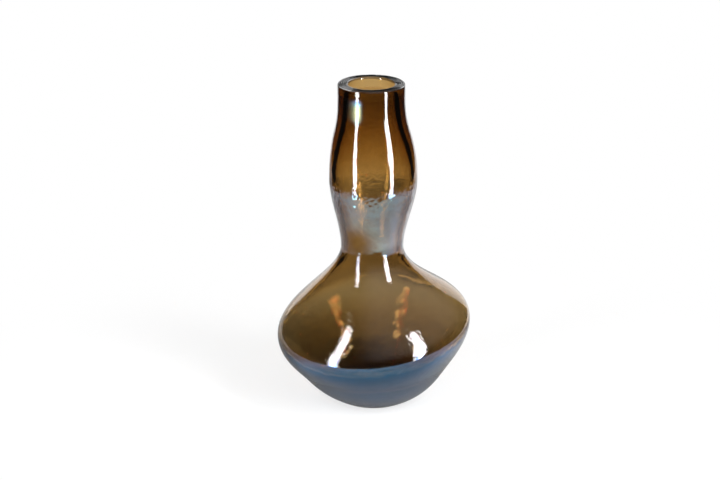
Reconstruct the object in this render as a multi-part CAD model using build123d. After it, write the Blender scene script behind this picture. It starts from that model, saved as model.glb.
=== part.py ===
from build123d import *
import math
import os
from collections import namedtuple

# A double-gourd flower vase of heavy hand-blown glass, in four glass masses:
# an amber liner, a thin outer casing over it, a lip wrap and a ground base pad.
# Millimetres, +Z up, origin at the middle of the standing face.

# Outer form: place, radius and flare (growth of the radius per unit of height) at each station,
# the lower gourd placed from the floor and the upper one from the rim
FOOT_RADIUS = 36.7
FOOT_FLARE = 1.98
BOWL_HEIGHT = 35.7
BOWL_RADIUS = 75.9
BOWL_FLARE = 0.72
BELLY_HEIGHT = 77.3
BELLY_RADIUS = 98.0
SHOULDER_HEIGHT = 110.2
SHOULDER_RADIUS = 74.1
SHOULDER_FLARE = -1.13
WAIST_HEIGHT = 162.2
WAIST_RADIUS = 31.2
BULGE_BELOW_RIM = 97.4
BULGE_RADIUS = 43.7
NECK_BELOW_RIM = 47.0
NECK_RADIUS = 37.3
NECK_FLARE = -0.29
TOTAL_HEIGHT = 330.0
LIP_RADIUS = 33.4

# Hand-made unevenness: the belly leans, uphill at LEAN_TURN from +X towards +Y,
# and above it the axis wanders a little along X
BELLY_TILT = 7.6
LEAN_TURN = 41.4
WAIST_SHIFT = -1.7
BULGE_SHIFT = -0.7
LIP_SHIFT = -2.7

# Glass: full wall at each station, square to the surface, and the casing over the liner
FOOT_WALL = 16.0
BOWL_WALL = 8.0
BELLY_WALL = 4.0
SHOULDER_WALL = 5.5
WAIST_WALL = 6.5
BULGE_WALL = 6.5
NECK_WALL = 10.0
CASING_THICKNESS = 2.0

# Lip wrap: a ring with a straight bore and rounded edges
LIP_LENGTH = 11.0
MOUTH_RADIUS = 22.5
LIP_OUTER_ROUND = 2.0
LIP_INNER_ROUND = 2.5

# Base pad: the lowest slice of the vase, hollowed where the pontil was ground away
PAD_HEIGHT = 8.0
HOLLOW_RADIUS = 27.0
HOLLOW_DEPTH = 5.0

# Rings of glass between two stations in each lofted form
STEPS_PER_SPAN = 4
# Room beyond the part for cutting slabs
CUT_MARGIN = 50.0

Station = namedtuple("Station", "height radius flare shift wall")

LIP_SEAT = TOTAL_HEIGHT - LIP_LENGTH
LIP_WALL = LIP_RADIUS - MOUTH_RADIUS

STATIONS = [
    Station(0.0, FOOT_RADIUS, FOOT_FLARE, 0.0, FOOT_WALL),
    Station(BOWL_HEIGHT, BOWL_RADIUS, BOWL_FLARE, None, BOWL_WALL),
    Station(BELLY_HEIGHT, BELLY_RADIUS, 0.0, 0.0, BELLY_WALL),
    Station(SHOULDER_HEIGHT, SHOULDER_RADIUS, SHOULDER_FLARE, None, SHOULDER_WALL),
    Station(WAIST_HEIGHT, WAIST_RADIUS, 0.0, WAIST_SHIFT, WAIST_WALL),
    Station(TOTAL_HEIGHT - BULGE_BELOW_RIM, BULGE_RADIUS, 0.0, BULGE_SHIFT, BULGE_WALL),
    Station(TOTAL_HEIGHT - NECK_BELOW_RIM, NECK_RADIUS, NECK_FLARE, None, NECK_WALL),
    Station(LIP_SEAT, LIP_RADIUS, 0.0, LIP_SHIFT, LIP_WALL),
]
SHIFT_POINTS = [(s.height, s.shift) for s in STATIONS if s.shift is not None]


def ease(t):
    """Smooth step from 0 to 1."""
    return t * t * (3 - 2 * t)


def span_radius(low, high, t):
    """Radius and flare at the share t between two stations, on a cubic with the stated flares."""
    rise = high.height - low.height
    radius = (
        (1 + 2 * t) * (1 - t) ** 2 * low.radius
        + t * (1 - t) ** 2 * rise * low.flare
        + t * t * (3 - 2 * t) * high.radius
        + t * t * (t - 1) * rise * high.flare
    )
    flare = (
        6 * t * (1 - t) * (high.radius - low.radius) / rise
        + (1 - t) * (1 - 3 * t) * low.flare
        + t * (3 * t - 2) * high.flare
    )
    return radius, flare


def axis_shift(height):
    """How far the axis has wandered along X at a height."""
    for (low_z, low_x), (high_z, high_x) in zip(SHIFT_POINTS, SHIFT_POINTS[1:]):
        if height <= high_z:
            return low_x + (high_x - low_x) * ease((height - low_z) / (high_z - low_z))
    return LIP_SHIFT


def section_tilt(height):
    """Lean of the section at a height: none at the foot and from the waist up, all of it at the belly."""
    if height < BELLY_HEIGHT:
        share = height / BELLY_HEIGHT
    else:
        share = max(0.0, (WAIST_HEIGHT - height) / (WAIST_HEIGHT - BELLY_HEIGHT))
    return BELLY_TILT * ease(share)


def ring(low, high, t, depth_of):
    """Circle of the form at the share t of a span, sunk square to the surface by depth_of(wall)."""
    height = low.height + (high.height - low.height) * t
    radius, flare = span_radius(low, high, t)
    depth = depth_of(low.wall + (high.wall - low.wall) * ease(t))
    slant = math.hypot(1.0, flare)
    rise = depth * flare / slant
    lean = Rot(0, 0, LEAN_TURN) * Rot(0, -section_tilt(height), 0)
    return Pos(axis_shift(height), 0, height) * lean * Pos(0, 0, rise) * Circle(radius - depth / slant)


def form(depth_of):
    """Solid bounded by the outer form sunk by depth_of(wall), from the foot to the lip seat."""
    spans = list(zip(STATIONS, STATIONS[1:]))
    shares = [k / STEPS_PER_SPAN for k in range(STEPS_PER_SPAN)]
    rings = [ring(low, high, share, depth_of) for low, high in spans for share in shares]
    rings.append(ring(*spans[-1], 1.0, depth_of))
    return loft(rings)


def slab(bottom, top):
    """Block wider than the vase between two heights."""
    side = 2 * (BELLY_RADIUS + CUT_MARGIN)
    return Pos(0, 0, (bottom + top) / 2) * Box(side, side, top - bottom)


def make_lip_wrap():
    """Ring of glass round the mouth, with a straight bore and both top edges rounded."""
    middle = Pos(LIP_SHIFT, 0, LIP_SEAT + LIP_LENGTH / 2)
    ring_of_glass = middle * (Cylinder(LIP_RADIUS, LIP_LENGTH) - Cylinder(MOUTH_RADIUS, LIP_LENGTH))
    outer_edge = ring_of_glass.edges().group_by(Axis.Z)[-1].sort_by(SortBy.RADIUS)[-1]
    ring_of_glass = fillet(outer_edge, LIP_OUTER_ROUND)
    inner_edge = ring_of_glass.edges().group_by(Axis.Z)[-1].sort_by(SortBy.RADIUS)[0]
    return fillet(inner_edge, LIP_INNER_ROUND)


def make_base_pad():
    """Lowest slice of the vase, with a ball-shaped hollow inside the standing ring."""
    ball_radius = (HOLLOW_RADIUS**2 + HOLLOW_DEPTH**2) / (2 * HOLLOW_DEPTH)
    ball = Pos(0, 0, HOLLOW_DEPTH - ball_radius) * Sphere(ball_radius)
    return (outer_form & slab(-CUT_MARGIN, PAD_HEIGHT)) - ball


outer_form = form(lambda wall: 0.0)
casing_bed = form(lambda wall: CASING_THICKNESS)
hollow_form = form(lambda wall: wall)
above_pad = slab(PAD_HEIGHT, TOTAL_HEIGHT + CUT_MARGIN)

parts = {
    "outer_casing": (outer_form & above_pad) - casing_bed,
    "amber_liner": (casing_bed & above_pad) - hollow_form,
    "lip_wrap": make_lip_wrap(),
    "base_pad": make_base_pad(),
}

os.makedirs("parts", exist_ok=True)
for name, solid in parts.items():
    export_step(solid, f"parts/{name}.step")
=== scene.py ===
import math
from collections import namedtuple

import bpy
import numpy as np
from mathutils import Matrix, Vector


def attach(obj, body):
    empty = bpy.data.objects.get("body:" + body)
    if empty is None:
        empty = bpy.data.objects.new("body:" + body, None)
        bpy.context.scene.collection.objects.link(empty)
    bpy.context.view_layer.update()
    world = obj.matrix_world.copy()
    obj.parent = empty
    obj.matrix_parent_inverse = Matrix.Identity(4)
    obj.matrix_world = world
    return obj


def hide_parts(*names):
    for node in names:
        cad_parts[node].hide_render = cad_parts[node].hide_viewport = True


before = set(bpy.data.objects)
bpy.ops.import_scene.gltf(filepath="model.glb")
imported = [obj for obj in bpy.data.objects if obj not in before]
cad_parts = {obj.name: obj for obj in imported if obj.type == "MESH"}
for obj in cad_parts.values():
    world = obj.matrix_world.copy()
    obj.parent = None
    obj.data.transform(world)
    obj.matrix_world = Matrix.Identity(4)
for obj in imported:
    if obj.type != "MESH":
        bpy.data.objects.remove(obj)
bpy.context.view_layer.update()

# A double-gourd vase of heavy amber glass with a blue lustre, on a white table.
# The form is in millimetres, as in the solids; looks, stage, lights and camera are in metres.
MM = 0.001

# Form: the sizes that are needed by name, then height, radius, flare (growth of the radius per unit
# of height), shift of the axis along X and full wall at each station
TOTAL_HEIGHT = 330.0
LIP_LENGTH = 11.0
LIP_SEAT = TOTAL_HEIGHT - LIP_LENGTH
LIP_RADIUS = 33.4
MOUTH_RADIUS = 22.5
LIP_OUTER_ROUND = 2.0
LIP_INNER_ROUND = 2.5
LIP_SHIFT = -2.7
BELLY_HEIGHT = 77.3
WAIST_HEIGHT = 162.2
CASING_THICKNESS = 2.0
PAD_HEIGHT = 8.0
HOLLOW_RADIUS = 27.0
HOLLOW_DEPTH = 5.0

Station = namedtuple("Station", "height radius flare shift wall")
STATIONS = [
    Station(0.0, 36.7, 1.98, 0.0, 16.0),
    Station(35.7, 75.9, 0.72, None, 8.0),
    Station(BELLY_HEIGHT, 98.0, 0.0, 0.0, 4.0),
    Station(110.2, 74.1, -1.13, None, 5.5),
    Station(WAIST_HEIGHT, 31.2, 0.0, -1.7, 6.5),
    Station(TOTAL_HEIGHT - 97.4, 43.7, 0.0, -0.7, 6.5),
    Station(TOTAL_HEIGHT - 47.0, 37.3, -0.29, None, 10.0),
    Station(LIP_SEAT, LIP_RADIUS, 0.0, LIP_SHIFT, LIP_RADIUS - MOUTH_RADIUS),
]
SHIFT_POINTS = [(s.height, s.shift) for s in STATIONS if s.shift is not None]
TOP_PLACE = len(STATIONS) - 1

# Lean of the belly, and its uphill direction from +X towards +Y
BELLY_TILT = math.radians(7.6)
LEAN_TURN = math.radians(41.4)

# Mesh fineness: corners of a ring, rings from station to station, steps in a rounded edge, rings of the
# hollow under the base, rounds of halving in the search for a height, and the angle of a sharp edge
SEGMENTS = 192
ROWS_PER_SPAN = 36
ROUND_STEPS = 10
HOLLOW_RINGS = 25
HALVINGS = 40
SHARP_ANGLE = math.radians(30)
# Gap between glass masses that really are fused, and how far the skin lies under that of the solids
SEAM_GAP = 0.03
SKIN_INSET = 0.02


def ease(t):
    """Smooth step from 0 to 1."""
    return t * t * (3 - 2 * t)


def span_radius(low, high, t):
    """Radius and flare at the share t between two stations, on a cubic with the stated flares."""
    rise = high.height - low.height
    radius = (
        (1 + 2 * t) * (1 - t) ** 2 * low.radius
        + t * (1 - t) ** 2 * rise * low.flare
        + t * t * (3 - 2 * t) * high.radius
        + t * t * (t - 1) * rise * high.flare
    )
    flare = (
        6 * t * (1 - t) * (high.radius - low.radius) / rise
        + (1 - t) * (1 - 3 * t) * low.flare
        + t * (3 * t - 2) * high.flare
    )
    return radius, flare


def axis_shift(height):
    """How far the axis has wandered along X at a height."""
    for (low_z, low_x), (high_z, high_x) in zip(SHIFT_POINTS, SHIFT_POINTS[1:]):
        if height <= high_z:
            return low_x + (high_x - low_x) * ease((height - low_z) / (high_z - low_z))
    return LIP_SHIFT


def section_tilt(height):
    """Lean of the section at a height: none at the foot and from the waist up, all of it at the belly."""
    if height < BELLY_HEIGHT:
        share = height / BELLY_HEIGHT
    else:
        share = max(0.0, (WAIST_HEIGHT - height) / (WAIST_HEIGHT - BELLY_HEIGHT))
    return BELLY_TILT * ease(share)


Ring = namedtuple("Ring", "x y z radius tilt")


def ring_at(place, depth_of):
    """Ring of the form at a place (span number plus share), sunk by depth_of(wall)."""
    span = min(int(place), TOP_PLACE - 1)
    t = place - span
    low, high = STATIONS[span], STATIONS[span + 1]
    height = low.height + (high.height - low.height) * t
    radius, flare = span_radius(low, high, t)
    depth = depth_of(low.wall + (high.wall - low.wall) * ease(t))
    slant = math.hypot(1.0, flare)
    rise = depth * flare / slant
    tilt = section_tilt(height)
    downhill = rise * math.sin(tilt)
    x = axis_shift(height) - downhill * math.cos(LEAN_TURN)
    y = -downhill * math.sin(LEAN_TURN)
    return Ring(x, y, height + rise * math.cos(tilt), radius - depth / slant, tilt)


def place_at_height(height, depth_of):
    """Place where the ring's centre is at a height, found by halving."""
    low, high = 0.0, float(TOP_PLACE)
    for _ in range(HALVINGS):
        middle = (low + high) / 2
        if ring_at(middle, depth_of).z < height:
            low = middle
        else:
            high = middle
    return low


def rings_between(bottom, top, depth_of):
    """Rings from one place up to another."""
    count = round((top - bottom) * ROWS_PER_SPAN)
    return [ring_at(bottom + (top - bottom) * k / count, depth_of) for k in range(count + 1)]


def flat_ring(radius, z, x=0.0, y=0.0):
    """Level ring."""
    return Ring(x, y, z, radius, 0.0)


def middle_of(ring):
    """A ring shrunk to its centre."""
    return flat_ring(0, ring.z, ring.x, ring.y)


def even(depth):
    """The same depth under the skin, whatever the wall."""
    return lambda wall: depth


skin_depth = even(SKIN_INSET)
casing_depth = even(CASING_THICKNESS)
liner_depth = even(CASING_THICKNESS + SEAM_GAP)


def full_depth(wall):
    """All of the wall."""
    return wall


# Kinds of surface, marked on the faces
SEAM, BARE, LUSTRED = "seam", "bare", "lustred"


def ring_points(ring):
    """Corners of a ring in metres, or its one point where it has shrunk to its centre."""
    if ring.radius == 0:
        return [(ring.x * MM, ring.y * MM, ring.z * MM)]
    angle = np.linspace(0, 2 * math.pi, SEGMENTS, endpoint=False)
    uphill = ring.radius * np.cos(angle)
    across = ring.radius * np.sin(angle)
    level = uphill * math.cos(ring.tilt)
    x = ring.x + level * math.cos(LEAN_TURN) - across * math.sin(LEAN_TURN)
    y = ring.y + level * math.sin(LEAN_TURN) + across * math.cos(LEAN_TURN)
    z = ring.z + uphill * math.sin(ring.tilt)
    return list(map(tuple, np.stack([x, y, z], axis=1) * MM))


def faces_between(first, second, first_start, second_start):
    """Faces from one ring to the next, given where the corners of each start."""
    faces = []
    for k in range(SEGMENTS):
        n = (k + 1) % SEGMENTS
        if first.radius == 0:
            faces.append([first_start, second_start + n, second_start + k])
        elif second.radius == 0:
            faces.append([first_start + k, first_start + n, second_start])
        else:
            faces.append([first_start + k, first_start + n, second_start + n, second_start + k])
    return faces


def skin(name, strips):
    """Closed mesh of strips of rings; each strip is (rings, surface) and starts where the last one ended.

    The last ring meets the first one, unless both have shrunk to a point.
    """
    rings = [strips[0][0][0]]
    surfaces = []
    for strip, surface in strips:
        rings += strip[1:]
        surfaces += [surface] * (len(strip) - 1)
    if rings[0] == rings[-1]:
        rings.pop()
    verts, starts = [], []
    for ring in rings:
        starts.append(len(verts))
        verts += ring_points(ring)
    faces, kinds = [], []
    for this, surface in enumerate(surfaces):
        following = (this + 1) % len(rings)
        row = faces_between(rings[this], rings[following], starts[this], starts[following])
        faces += row
        kinds += [surface] * len(row)
    mesh = bpy.data.meshes.new(name)
    mesh.from_pydata(verts, [], faces)
    mesh.shade_smooth()
    for kind in (SEAM, LUSTRED):
        marks = [float(surface == kind) for surface in kinds]
        mesh.attributes.new(kind, "FLOAT", "FACE").data.foreach_set("value", marks)
    mesh.set_sharp_from_angle(angle=SHARP_ANGLE)
    mesh.validate()
    piece = bpy.data.objects.new(name, mesh)
    bpy.context.collection.objects.link(piece)
    return piece


def make_casing():
    """Thin outer layer, which carries the lustre."""
    bottom = place_at_height(PAD_HEIGHT, skin_depth)
    bed_bottom = place_at_height(PAD_HEIGHT, casing_depth)
    outside = rings_between(bottom, TOP_PLACE, skin_depth)
    bed = rings_between(bed_bottom, TOP_PLACE, casing_depth)[::-1]
    return skin("outer_casing_glass", [
        (outside, LUSTRED),
        ([outside[-1], bed[0]], SEAM),
        (bed, SEAM),
        ([bed[-1], outside[0]], SEAM),
    ])


def make_liner():
    """Amber bubble inside the casing, with the hollow of the vase."""
    bed_bottom = place_at_height(PAD_HEIGHT + SEAM_GAP, liner_depth)
    bed = rings_between(bed_bottom, TOP_PLACE, liner_depth)
    hollow = rings_between(0.0, TOP_PLACE, full_depth)[::-1]
    return skin("amber_liner_glass", [
        ([middle_of(bed[0]), bed[0]], SEAM),
        (bed, SEAM),
        ([bed[-1], hollow[0]], SEAM),
        (hollow, BARE),
        ([hollow[-1], middle_of(hollow[-1])], BARE),
    ])


def round_rings(middle, size, start, end):
    """Rings round a quarter of an edge of the lip, from one angle to another."""
    radius, z = middle
    return [
        flat_ring(radius + size * math.cos(a), z + size * math.sin(a), LIP_SHIFT)
        for a in np.linspace(math.radians(start), math.radians(end), ROUND_STEPS + 1)
    ]


def make_lip():
    """Ring of glass round the mouth, with both top edges rounded."""
    seat = LIP_SEAT + SEAM_GAP
    outer_middle = (LIP_RADIUS - LIP_OUTER_ROUND, TOTAL_HEIGHT - LIP_OUTER_ROUND)
    inner_middle = (MOUTH_RADIUS + LIP_INNER_ROUND, TOTAL_HEIGHT - LIP_INNER_ROUND)
    outer = round_rings(outer_middle, LIP_OUTER_ROUND, 0, 90)
    inner = round_rings(inner_middle, LIP_INNER_ROUND, 90, 180)
    foot_out = flat_ring(LIP_RADIUS, seat, LIP_SHIFT)
    foot_in = flat_ring(MOUTH_RADIUS, seat, LIP_SHIFT)
    return skin("lip_wrap_glass", [
        ([foot_out] + outer, LUSTRED),
        ([outer[-1]] + inner, LUSTRED),
        ([inner[-1], foot_in], BARE),
        ([foot_in, foot_out], SEAM),
    ])


def make_pad():
    """Lowest slice of the vase, with a ball-shaped hollow inside the standing ring."""
    top_place = place_at_height(PAD_HEIGHT - SEAM_GAP, skin_depth)
    ball = (HOLLOW_RADIUS**2 + HOLLOW_DEPTH**2) / (2 * HOLLOW_DEPTH)
    hollow = [
        flat_ring(r, HOLLOW_DEPTH - ball + math.sqrt(ball**2 - r * r))
        for r in np.linspace(0, HOLLOW_RADIUS, HOLLOW_RINGS)
    ]
    side = rings_between(0.0, top_place, skin_depth)
    return skin("base_pad_glass", [
        (hollow, BARE),
        ([hollow[-1], side[0]], BARE),
        (side, LUSTRED),
        ([side[-1], middle_of(side[-1])], SEAM),
    ])


# Glass: refraction in the open and at a fused seam, colour that is left, and how dense each piece is
GLASS_IOR = 1.5
SEAM_IOR = 1.0005
AMBER = (0.82, 0.72, 0.50)
CASING_DENSITY = 300.0
LINER_DENSITY = 560.0
LIP_DENSITY = 420.0
PAD_DENSITY = 560.0

# Film of the lustre: refraction at full strength, thickness in nanometres, what the film of the band
# at the waist has more, and what share of the reflections from inside the glass the lustre leaves
FILM_IOR = 2.0
FILM_THICKNESS = 171.0
BAND_FILM_RISE = 19.0
LUSTRE_GLEAM = 0.02

# How the outside changes up the vase, each as (height in metres, amount): strength of the lustre,
# share of light that its satin wear scatters, share of its own reflections that shows, share of
# the band's thicker film, and roughness of the clear coat over the lustre
LUSTRE = [(0.070, 1.0), (0.093, 0.2), (0.158, 0.2), (0.164, 0.7), (0.222, 0.8), (0.236, 0.1)]
SATIN = [(0.012, 0.05), (0.050, 0.0), (0.165, 0.0), (0.171, 0.06), (0.190, 0.03), (0.210, 0.0)]
GLEAM = [(0.070, 1.0), (0.093, 0.35), (0.158, 0.35), (0.164, 1.0), (0.222, 1.0), (0.236, 0.35)]
BAND = [(0.145, 0.0), (0.160, 1.0), (0.236, 1.0), (0.260, 0.0)]
COAT_ROUGHNESS = [(0.034, 0.40), (0.062, 0.05)]

# Strength of the relief in the same way: waves, crinkle of the coat, crinkle of the lustre under it,
# and waves of the inner wall
WAVES = [
    (0.020, 0.3), (0.045, 0.4), (0.065, 0.15), (0.145, 0.15),
    (0.156, 1.0), (0.225, 1.0), (0.250, 0.2),
]
CRINKLE = [
    (0.020, 0.1), (0.050, 0.4), (0.110, 0.25), (0.150, 0.25),
    (0.195, 0.4), (0.205, 1.0), (0.225, 1.0), (0.240, 0.12),
]
LUSTRE_CRINKLE = [(0.145, 0.0), (0.156, 0.4), (0.195, 0.4), (0.205, 1.0), (0.225, 1.0), (0.240, 0.0)]
INNER_WAVINESS = [(0.050, 0.5), (0.090, 0.5), (0.115, 0.2), (0.225, 0.15)]

# The relief itself, as (waves per metre, height in metres), and the detail of its noise
OUTER_WAVES = [(60.0, 0.0004), (125.0, 0.0003)]
OUTER_CRINKLE = [(280.0, 0.0006), (480.0, 0.00025)]
INNER_WAVES = [(110.0, 0.0009)]
RELIEF_DETAIL = 0.5

# Thin bright wrinkles of the inner wall, where noise is near its mean: waves per metre, detail, width,
# share of the width that is fully bright, heights that they end between, and reflections elsewhere
WRINKLE_SCALE = 130.0
WRINKLE_DETAIL = 2.0
WRINKLE_WIDTH = 0.06
WRINKLE_CORE = 0.6
WRINKLE_END = (0.115, 0.13)
NOISE_MEAN = 0.5
INNER_GLEAM = [(0.150, 0.08), (0.165, 1.0), (0.225, 1.0), (0.245, 0.15)]

# Share of the belly's lean that the form has, by height
LEAN_SHARE = [(0.0, 0.0), (BELLY_HEIGHT * MM, 1.0), (WAIST_HEIGHT * MM, 0.0)]

# Half size of an oval that never ends, and the share of a soft oval that is at full strength
ENDLESS = 1e6
SOFT_CORE = 0.3

# Painted shade that darkens the glass on the front under the lip: strength by height, and the places
# along Y that it starts and is full at
PAINTED_SHADE = [(0.275, 0.0), (0.322, 0.55), (0.327, 0.55), (0.3285, 0.0)]
PAINTED_SHADE_BACK = 0.010
PAINTED_SHADE_FRONT = -0.020

# Worn spot of the lustre at the waist: its middle, the distances from it that bare glass ends and
# lustre is whole at, and what is left of the reflections in it. The golden film round it
# has no coat: distances in the same way, and what it has more in nanometres
WORN_SPOT = (-0.0163, -0.0285, 0.174)
WORN_CORE = 0.001
WORN_EDGE = 0.028
WORN_GLEAM = 0.15
GOLD_CORE = 0.004
GOLD_EDGE = 0.036
GOLD_FILM_RISE = 38.0

# Bloom of the lustre under the lip: strength by height, middle and half sizes of the column that it
# lies in, roughness, strength of its lustre, and what its film has more in nanometres, by height
BLOOM = [(0.292, 0.0), (0.304, 1.0), (0.317, 1.0), (0.326, 0.0)]
BLOOM_MIDDLE = (-0.0185, -0.028, 0.0)
BLOOM_SIZE = (0.014, 0.025, ENDLESS)
BLOOM_ROUGHNESS = 0.27
BLOOM_LUSTRE = 0.6
BLOOM_FILM = [(0.286, 0.0), (0.296, 0.65), (0.303, 0.85), (0.312, 0.85), (0.320, 0.1)]
BLOOM_FILM_RISE = 80.0

# Tool marks round the top of the lip: radians per metre of radius, part of each wave that shows,
# waves per metre and detail of the noise that makes them patchy, part of that noise that shows,
# distances to the side that they start and are full at, share of light that they scatter,
# and the height that they start at
LIP_MARK_WAVE = 2 * math.pi / 0.0018
LIP_MARK_LINE = (0.2, 1.0)
LIP_PATCH_SCALE = 60.0
LIP_PATCH_DETAIL = 1.0
LIP_PATCH_EDGE = (0.3, 0.55)
LIP_MARK_ASIDE = (0.012, 0.026)
LIP_MARK_SATIN = 0.8
LIP_MARK_FOOT = 0.3285


class Tree:
    """Shader nodes of a material, a world or a lamp, added by what they work out."""

    def __init__(self, node_tree):
        self.nodes = node_tree.nodes
        self.links = node_tree.links

    def add(self, kind):
        return self.nodes.new(kind)

    def link(self, output, socket):
        self.links.new(output, socket)

    def calc(self, operation, *values):
        """Math node whose inputs are sockets or plain numbers."""
        node = self.add("ShaderNodeMath")
        node.operation = operation
        for socket, value in zip(node.inputs, values):
            if isinstance(value, (int, float)):
                socket.default_value = value
            else:
                self.link(value, socket)
        return node.outputs["Value"]

    def times(self, a, b):
        return self.calc("MULTIPLY", a, b)

    def plus(self, a, b):
        return self.calc("ADD", a, b)

    def times_plus(self, a, b, c):
        return self.calc("MULTIPLY_ADD", a, b, c)

    def most(self, a, b):
        return self.calc("MAXIMUM", a, b)

    def rest(self, share):
        """What a share leaves of 1."""
        return self.calc("SUBTRACT", 1.0, share)

    def ramp(self, value, low, high, at_low=0.0, at_high=1.0):
        """Smooth step of a value between two limits."""
        node = self.add("ShaderNodeMapRange")
        node.interpolation_type = "SMOOTHSTEP"
        node.inputs["From Min"].default_value = low
        node.inputs["From Max"].default_value = high
        node.inputs["To Min"].default_value = at_low
        node.inputs["To Max"].default_value = at_high
        self.link(value, node.inputs["Value"])
        return node.outputs["Result"]

    def by_height(self, height, stops):
        """Amount that eases from stop to stop up the vase."""
        curve = self.add("ShaderNodeValToRGB")
        curve.color_ramp.interpolation = "EASE"
        points = curve.color_ramp.elements
        while len(points) < len(stops):
            points.new(1.0)
        for point, (place, amount) in zip(points, stops):
            point.position = place / (TOTAL_HEIGHT * MM)
            point.color = (amount, amount, amount, 1)
        self.link(self.calc("DIVIDE", height, TOTAL_HEIGHT * MM), curve.inputs["Fac"])
        return curve.outputs["Color"]

    def oval_distance(self, place, middle=(0, 0, 0), half_sizes=(1, 1, 1), turn=0.0):
        """Distance from the middle of an oval that is turned about Z, 1 at its edge."""
        oval = self.add("ShaderNodeMapping")
        oval.vector_type = "TEXTURE"
        oval.inputs["Location"].default_value = middle
        oval.inputs["Rotation"].default_value = (0, 0, turn)
        oval.inputs["Scale"].default_value = half_sizes
        self.link(place, oval.inputs["Vector"])
        away = self.add("ShaderNodeVectorMath")
        away.operation = "LENGTH"
        self.link(oval.outputs["Vector"], away.inputs[0])
        return away.outputs["Value"]

    def noise(self, place, scale, detail):
        texture = self.add("ShaderNodeTexNoise")
        texture.inputs["Scale"].default_value = scale
        texture.inputs["Detail"].default_value = detail
        self.link(place, texture.inputs["Vector"])
        return texture.outputs["Fac"]

    def axis(self, vector, name):
        """One of the three numbers of a vector."""
        parts = self.add("ShaderNodeSeparateXYZ")
        self.link(vector, parts.inputs["Vector"])
        return parts.outputs[name]

    def mark(self, kind):
        """1 on the faces of one kind of surface."""
        node = self.add("ShaderNodeAttribute")
        node.attribute_name = kind
        return node.outputs["Fac"]

    def grey(self, level):
        """Grey of a level, as a colour."""
        colour = self.add("ShaderNodeCombineColor")
        for channel in colour.inputs:
            self.link(level, channel)
        return colour.outputs["Color"]


def new_material(name):
    material = bpy.data.materials.new(name)
    material.use_nodes = True
    return material, Tree(material.node_tree)


def form_height(tree, place):
    """Height up the leaning form, so that what is given by height follows the belly."""
    uphill = tree.add("ShaderNodeVectorMath")
    uphill.operation = "DOT_PRODUCT"
    uphill.inputs[1].default_value = (math.cos(LEAN_TURN), math.sin(LEAN_TURN), 0)
    tree.link(place, uphill.inputs[0])
    height = tree.axis(place, "Z")
    slope = tree.times(tree.by_height(height, LEAN_SHARE), -math.tan(BELLY_TILT))
    return tree.times_plus(uphill.outputs["Value"], slope, height)


def relief(tree, place, waves, amounts):
    """Height of a sum of noise waves, as strong as the amounts say."""
    height = 0.0
    for scale, size in waves:
        height = tree.times_plus(tree.noise(place, scale, RELIEF_DETAIL), size, height)
    return tree.times(height, tree.by_height(tree.axis(place, "Z"), amounts))


def bumped(tree, height, open_face):
    """Normal of a surface with this relief, flat on the seams."""
    bump = tree.add("ShaderNodeBump")
    bump.inputs["Distance"].default_value = 1.0
    tree.link(open_face, bump.inputs["Strength"])
    tree.link(height, bump.inputs["Height"])
    return bump.outputs["Normal"]


def tool_rings(tree, place):
    """Share of light that the faint rings of the tool scatter on top of the lip."""
    radius = tree.oval_distance(place, (LIP_SHIFT * MM, 0, 0), (1, 1, ENDLESS))
    line = tree.ramp(tree.calc("SINE", tree.times(radius, LIP_MARK_WAVE)), *LIP_MARK_LINE)
    patches = tree.noise(place, LIP_PATCH_SCALE, LIP_PATCH_DETAIL)
    patchy = tree.ramp(patches, *LIP_PATCH_EDGE, 0.0, LIP_MARK_SATIN)
    aside = tree.calc("ABSOLUTE", tree.axis(place, "X"))
    patchy = tree.times(patchy, tree.ramp(aside, *LIP_MARK_ASIDE))
    top = tree.ramp(tree.axis(place, "Z"), LIP_MARK_FOOT, TOTAL_HEIGHT * MM)
    return tree.times(tree.times(line, patchy), top)


def bloom_at(tree, place, height, mark):
    """Strength of the bloom under the lip."""
    column = tree.oval_distance(place, BLOOM_MIDDLE, BLOOM_SIZE)
    column = tree.ramp(column, SOFT_CORE, 1.0, 1.0, 0.0)
    return tree.times(tree.times(column, tree.by_height(height, BLOOM)), mark)


def add_film(tree, shader, height, spot, bloom, kept, mark):
    """Thin film: how strong it is goes by its refraction, and its colour by its thickness."""
    iridescence = tree.times(bloom, BLOOM_LUSTRE)
    amount = tree.times(tree.most(tree.by_height(height, LUSTRE), iridescence), kept)
    film_ior = tree.times_plus(amount, FILM_IOR - GLASS_IOR, GLASS_IOR)
    tree.link(film_ior, shader.inputs["Thin Film IOR"])
    film = tree.times_plus(tree.by_height(height, BAND), BAND_FILM_RISE, FILM_THICKNESS)
    film = tree.plus(film, tree.ramp(spot, GOLD_CORE, GOLD_EDGE, GOLD_FILM_RISE, 0.0))
    film = tree.plus(film, tree.times(tree.by_height(height, BLOOM_FILM), BLOOM_FILM_RISE))
    tree.link(tree.times(film, mark), shader.inputs["Thin Film Thickness"])


def add_coat(tree, shader, height, spot, blur, mark, outside):
    """Clear coat over the lustre, seen from outside only and missing at the golden spot."""
    coated = tree.times(tree.ramp(spot, GOLD_CORE, GOLD_EDGE), mark)
    tree.link(tree.times(coated, outside), shader.inputs["Coat Weight"])
    coat_blur = tree.most(tree.by_height(height, COAT_ROUGHNESS), blur)
    tree.link(coat_blur, shader.inputs["Coat Roughness"])


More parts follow.
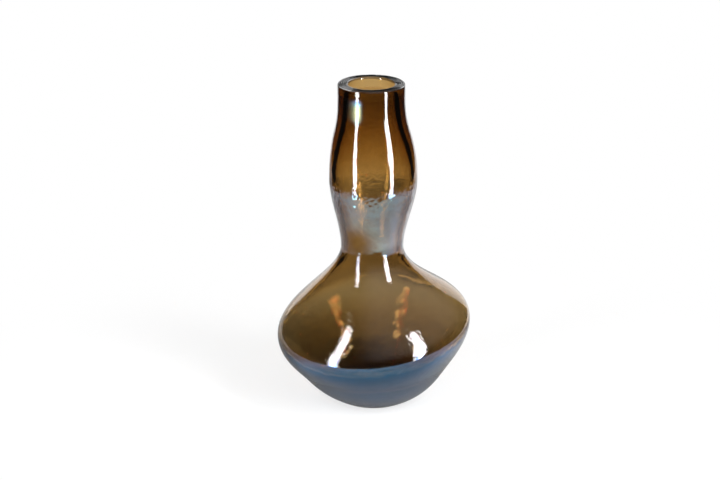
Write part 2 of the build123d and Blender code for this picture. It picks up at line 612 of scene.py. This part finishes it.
def add_lustre(tree, shader, place, ringed):
    """Blue lustre: a thin film under a clear coat, worn at one spot and iridescent under the lip.

    Gives back the share of its reflections that shows.
    """
    mark = tree.mark(LUSTRED)
    inside = tree.add("ShaderNodeNewGeometry").outputs["Backfacing"]
    height = form_height(tree, place)
    spot = tree.oval_distance(place, WORN_SPOT)
    unworn = tree.ramp(spot, WORN_CORE, WORN_EDGE)
    kept = tree.times(mark, unworn)
    bloom = bloom_at(tree, place, height, mark)
    blur = tree.times(bloom, BLOOM_ROUGHNESS)
    tree.link(blur, shader.inputs["Roughness"])
    add_film(tree, shader, height, spot, bloom, kept, mark)
    add_coat(tree, shader, height, spot, blur, mark, tree.rest(inside))
    if ringed:
        satin = tool_rings(tree, place)
    else:
        satin = tree.times(tree.by_height(height, SATIN), kept)
    tree.link(tree.rest(satin), shader.inputs["Transmission Weight"])
    # Painted shade: the glass on the front under the lip is darkened
    front = tree.ramp(tree.axis(place, "Y"), PAINTED_SHADE_BACK, PAINTED_SHADE_FRONT)
    painted_shade = tree.times(tree.by_height(height, PAINTED_SHADE), front)
    tree.link(tree.grey(tree.rest(painted_shade)), shader.inputs["Base Color"])
    gleam = tree.most(tree.by_height(height, GLEAM), bloom)
    gleam = tree.times(gleam, tree.ramp(unworn, 0.0, 1.0, WORN_GLEAM, 1.0))
    dull = tree.times_plus(inside, LUSTRE_GLEAM - 1.0, 1.0)
    return tree.calc("MINIMUM", gleam, dull)


def inner_gleam(tree, place):
    """How much an inner wall reflects: little in the belly, apart from its thin wrinkles."""
    pattern = tree.noise(place, WRINKLE_SCALE, WRINKLE_DETAIL)
    offset = tree.calc("ABSOLUTE", tree.calc("SUBTRACT", pattern, NOISE_MEAN))
    wrinkle = tree.ramp(offset, WRINKLE_CORE * WRINKLE_WIDTH, WRINKLE_WIDTH, 1.0, 0.0)
    height = tree.axis(place, "Z")
    wrinkle = tree.times(wrinkle, tree.ramp(height, *WRINKLE_END, 1.0, 0.0))
    return tree.most(wrinkle, tree.by_height(height, INNER_GLEAM))


def glass(name, density, lustred=False, ringed=False):
    """Amber glass whose fused seams bend no light."""
    material, tree = new_material(name)
    shader = tree.nodes["Principled BSDF"]
    shader.inputs["Base Color"].default_value = (1, 1, 1, 1)
    shader.inputs["Transmission Weight"].default_value = 1.0
    shader.inputs["Roughness"].default_value = 0.0
    open_face = tree.rest(tree.mark(SEAM))
    bend = tree.times_plus(open_face, GLASS_IOR - SEAM_IOR, SEAM_IOR)
    tree.link(bend, shader.inputs["IOR"])
    absorb = tree.add("ShaderNodeVolumeAbsorption")
    absorb.inputs["Color"].default_value = (*AMBER, 1)
    absorb.inputs["Density"].default_value = density
    tree.link(absorb.outputs["Volume"], tree.nodes["Material Output"].inputs["Volume"])
    place = tree.add("ShaderNodeTexCoord").outputs["Object"]
    if lustred:
        waves = relief(tree, place, OUTER_WAVES, WAVES)
        coat_height = tree.plus(waves, relief(tree, place, OUTER_CRINKLE, CRINKLE))
        tree.link(bumped(tree, coat_height, open_face), shader.inputs["Coat Normal"])
        height = tree.plus(waves, relief(tree, place, OUTER_CRINKLE, LUSTRE_CRINKLE))
        gleam = add_lustre(tree, shader, place, ringed)
    else:
        height = relief(tree, place, INNER_WAVES, INNER_WAVINESS)
        gleam = inner_gleam(tree, place)
    tree.link(bumped(tree, height, open_face), shader.inputs["Normal"])
    tree.link(tree.grey(gleam), shader.inputs["Specular Tint"])
    return material


def make_vase():
    """The four glass masses, each in the place of its solid."""
    casing_look = glass("lustred_glass_look", CASING_DENSITY, lustred=True)
    liner_look = glass("amber_glass_look", LINER_DENSITY)
    lip_look = glass("lip_glass_look", LIP_DENSITY, lustred=True, ringed=True)
    pad_look = glass("base_glass_look", PAD_DENSITY, lustred=True)
    pieces = [
        ("outer_casing", make_casing(), "lustred_glass", casing_look),
        ("amber_liner", make_liner(), "amber_glass", liner_look),
        ("lip_wrap", make_lip(), "lip_glass", lip_look),
        ("base_pad", make_pad(), "base_glass", pad_look),
    ]
    for node, piece, slot, material in pieces:
        piece.data.materials.append(material)
        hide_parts(node)
        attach(piece, "root")


# Stage: a white table with a front edge, and a backdrop
TABLE_FRONT = -0.37
TABLE_BACK = 0.95
TABLE_LEFT = -0.60
TABLE_RIGHT = 0.65
BACKDROP_TOP = 0.52
BOARD_WHITE = 0.95
# Share of glow in the boards: as the glass sees them, and as the camera sees them near the vase;
# from the near to the far distance the camera's share rises to all of it
BOARD_GLOW = 0.785
CAMERA_GLOW = 0.66
GLOW_NEAR = 0.12
GLOW_FAR = 0.45

# Soft ovals of shade in the glow that the glass sees: the first is the vase's own shadow, and the others
# are uneven light on the table, set to the tones seen through the glass. The turn is in degrees,
# and the last number is the light left in the core
Shade = namedtuple("Shade", "x y turn half_length half_width light")
SHADES = [
    Shade(0.0, 0.055, 0.0, 0.18, 0.185, 0.05),
    Shade(-0.01, 0.19, 90.0, 0.38, 0.24, 0.36),
    Shade(-0.22, 0.16, 142.0, 0.48, 0.22, 0.25),
    Shade(-0.32, 0.06, 0.0, 0.25, 0.22, 0.15),
    Shade(-0.50, 0.65, 0.0, 0.50, 0.34, 0.20),
    Shade(0.32, 0.14, 0.0, 0.24, 0.24, 0.24),
    Shade(0.08, 0.58, 90.0, 0.34, 0.24, 0.30),
    Shade(-0.22, 0.42, 0.0, 0.20, 0.20, 0.50),
    Shade(0.05, -0.14, 0.0, 0.36, 0.12, 0.50),
    Shade(0.13, 0.74, 0.0, 0.10, 0.16, 0.15),
]


def shaded_light(tree, place, shades):
    """Light that all the ovals of shade together leave at a place."""
    light = 1.0
    for shade in shades:
        half_sizes = (shade.half_length, shade.half_width, 1)
        turn = math.radians(shade.turn)
        away = tree.oval_distance(place, (shade.x, shade.y, 0), half_sizes, turn)
        light = tree.times(light, tree.ramp(away, SOFT_CORE, 1.0, shade.light, 1.0))
    return light


def white_board(name, shades=()):
    """White board that glows for the camera and for the glass, and still takes shadow."""
    material, tree = new_material(name)
    shader = tree.nodes["Principled BSDF"]
    shader.inputs["Base Color"].default_value = (BOARD_WHITE, BOARD_WHITE, BOARD_WHITE, 1)
    shader.inputs["Roughness"].default_value = 1.0
    shader.inputs["Specular IOR Level"].default_value = 0.0
    path = tree.add("ShaderNodeLightPath").outputs
    place = tree.add("ShaderNodeNewGeometry").outputs["Position"]
    glow = tree.add("ShaderNodeEmission")
    if shades:
        light = tree.most(shaded_light(tree, place, shades), path["Is Camera Ray"])
        tree.link(light, glow.inputs["Strength"])
    by_glass = tree.times(tree.most(path["Is Glossy Ray"], path["Is Transmission Ray"]), BOARD_GLOW)
    by_camera = tree.ramp(tree.oval_distance(place), GLOW_NEAR, GLOW_FAR, CAMERA_GLOW, 1.0)
    by_camera = tree.times(by_camera, path["Is Camera Ray"])
    blend = tree.add("ShaderNodeMixShader")
    tree.link(tree.most(by_camera, by_glass), blend.inputs["Fac"])
    tree.link(shader.outputs["BSDF"], blend.inputs[1])
    tree.link(glow.outputs["Emission"], blend.inputs[2])
    tree.link(blend.outputs["Shader"], tree.nodes["Material Output"].inputs["Surface"])
    return material


def panel(name, corners, material):
    """Flat board of the stage between four corners."""
    mesh = bpy.data.meshes.new(name)
    mesh.from_pydata(corners, [], [(0, 1, 2, 3)])
    mesh.materials.append(material)
    board = bpy.data.objects.new(name, mesh)
    bpy.context.collection.objects.link(board)


def make_stage():
    panel("table", [
        (TABLE_LEFT, TABLE_FRONT, 0), (TABLE_RIGHT, TABLE_FRONT, 0),
        (TABLE_RIGHT, TABLE_BACK, 0), (TABLE_LEFT, TABLE_BACK, 0),
    ], white_board("table_white", SHADES))
    panel("backdrop", [
        (TABLE_LEFT, TABLE_BACK, 0), (TABLE_RIGHT, TABLE_BACK, 0),
        (TABLE_RIGHT, TABLE_BACK, BACKDROP_TOP), (TABLE_LEFT, TABLE_BACK, BACKDROP_TOP),
    ], white_board("backdrop_white"))


# Room in the reflections: its darkest and brightest light, the directions along X and Z that it
# brightens between, and its light on the table
ROOM_DARK = 0.02
ROOM_GLOW = 0.45
ROOM_SIDE = (-0.5, 0.1)
ROOM_RISE = (0.2, 0.7)
AMBIENT = 0.3


def make_world():
    """White for what the camera sees directly or straight through the glass, a dim room in reflections."""
    world = bpy.data.worlds.new("studio")
    bpy.context.scene.world = world
    world.use_nodes = True
    tree = Tree(world.node_tree)
    path = tree.add("ShaderNodeLightPath").outputs
    direction = tree.add("ShaderNodeTexCoord").outputs["Generated"]
    to_right = tree.ramp(tree.axis(direction, "X"), *ROOM_SIDE)
    high = tree.ramp(tree.axis(direction, "Z"), *ROOM_RISE, 0.0, ROOM_GLOW - ROOM_DARK)
    room = tree.times_plus(to_right, high, ROOM_DARK)
    unmirrored = tree.calc("LESS_THAN", path["Glossy Depth"], 1.0)
    through = tree.times(path["Is Transmission Ray"], unmirrored)
    white = tree.most(path["Is Camera Ray"], through)
    ambient = tree.times(path["Is Diffuse Ray"], AMBIENT)
    background = tree.nodes["Background"]
    tree.link(tree.most(tree.most(white, ambient), room), background.inputs["Strength"])
    background.inputs["Color"].default_value = (1, 1, 1, 1)


# Strip lights round the vase, each between a foot and a head: azimuths in degrees from the viewer's side,
# heights and width in metres
Strip = namedtuple("Strip", "name foot_azimuth foot_height head_azimuth head_height width")
STRIPS = [
    Strip("left_strip", -46, -0.35, -52, 1.31, 0.145),
    Strip("right_strip_low", 44, -0.55, 50, 0.34, 0.12),
    Strip("right_strip_high", 46, 0.16, 57, 1.38, 0.22),
]
# Their distance from the axis, their light, and the share of the length that fades out at each end
STRIP_DISTANCE = 0.9
STRIP_RADIANCE = 24.0
STRIP_FADE = 0.08
HALF_LENGTH = 0.5


def round_vase(azimuth, height):
    """Point of a strip light at an azimuth and a height."""
    turn = math.radians(azimuth)
    return Vector((STRIP_DISTANCE * math.sin(turn), -STRIP_DISTANCE * math.cos(turn), height))


def strip_light(strip):
    """Lamp from foot to head that faces the vase and fades at both ends."""
    foot = round_vase(strip.foot_azimuth, strip.foot_height)
    head = round_vase(strip.head_azimuth, strip.head_height)
    middle = (foot + head) / 2
    along = (head - foot).normalized()
    outward = Vector((middle.x, middle.y, 0))
    outward = (outward - along * outward.dot(along)).normalized()
    light = bpy.data.lights.new(strip.name, "AREA")
    light.shape = "RECTANGLE"
    light.size = strip.width
    light.size_y = (head - foot).length
    light.energy = STRIP_RADIANCE * math.pi * strip.width * light.size_y
    light.use_nodes = True
    tree = Tree(light.node_tree)
    length_share = tree.axis(tree.add("ShaderNodeNewGeometry").outputs["Parametric"], "Y")
    from_middle = tree.calc("ABSOLUTE", tree.calc("SUBTRACT", length_share, HALF_LENGTH))
    fade = tree.ramp(from_middle, HALF_LENGTH - STRIP_FADE, HALF_LENGTH, 1.0, 0.0)
    tree.link(fade, tree.nodes["Emission"].inputs["Strength"])
    lamp = bpy.data.objects.new(strip.name, light)
    turn = Matrix((along.cross(outward), along, outward)).transposed()
    lamp.matrix_world = Matrix.Translation(middle) @ turn.to_4x4()
    bpy.context.collection.objects.link(lamp)


# Camera: the aim point is seen in the middle of the picture, from this far and this steeply
CAMERA_DISTANCE = 2.0
CAMERA_PITCH = math.radians(19.98)
CAMERA_AIM = (-0.0138, 0.0, 0.1676)
CAMERA_LENS = 100.0
SENSOR_WIDTH = 36.0


def make_camera():
    camera = bpy.data.cameras.new("camera")
    camera.sensor_width = SENSOR_WIDTH
    camera.lens = CAMERA_LENS
    holder = bpy.data.objects.new("camera", camera)
    aim_x, aim_y, aim_z = CAMERA_AIM
    holder.location = (
        aim_x,
        aim_y - CAMERA_DISTANCE * math.cos(CAMERA_PITCH),
        aim_z + CAMERA_DISTANCE * math.sin(CAMERA_PITCH),
    )
    holder.rotation_euler = (math.pi / 2 - CAMERA_PITCH, 0, 0)
    bpy.context.collection.objects.link(holder)
    bpy.context.scene.camera = holder


# Bounces of light: through the many faces of the glass, and between mirrors
GLASS_BOUNCES = 32
MIRROR_BOUNCES = 16

make_vase()
make_stage()
make_world()
for strip in STRIPS:
    strip_light(strip)
make_camera()

scene = bpy.context.scene
scene.view_settings.view_transform = "Standard"
scene.cycles.max_bounces = GLASS_BOUNCES
scene.cycles.transmission_bounces = GLASS_BOUNCES
scene.cycles.transparent_max_bounces = GLASS_BOUNCES
scene.cycles.glossy_bounces = MIRROR_BOUNCES
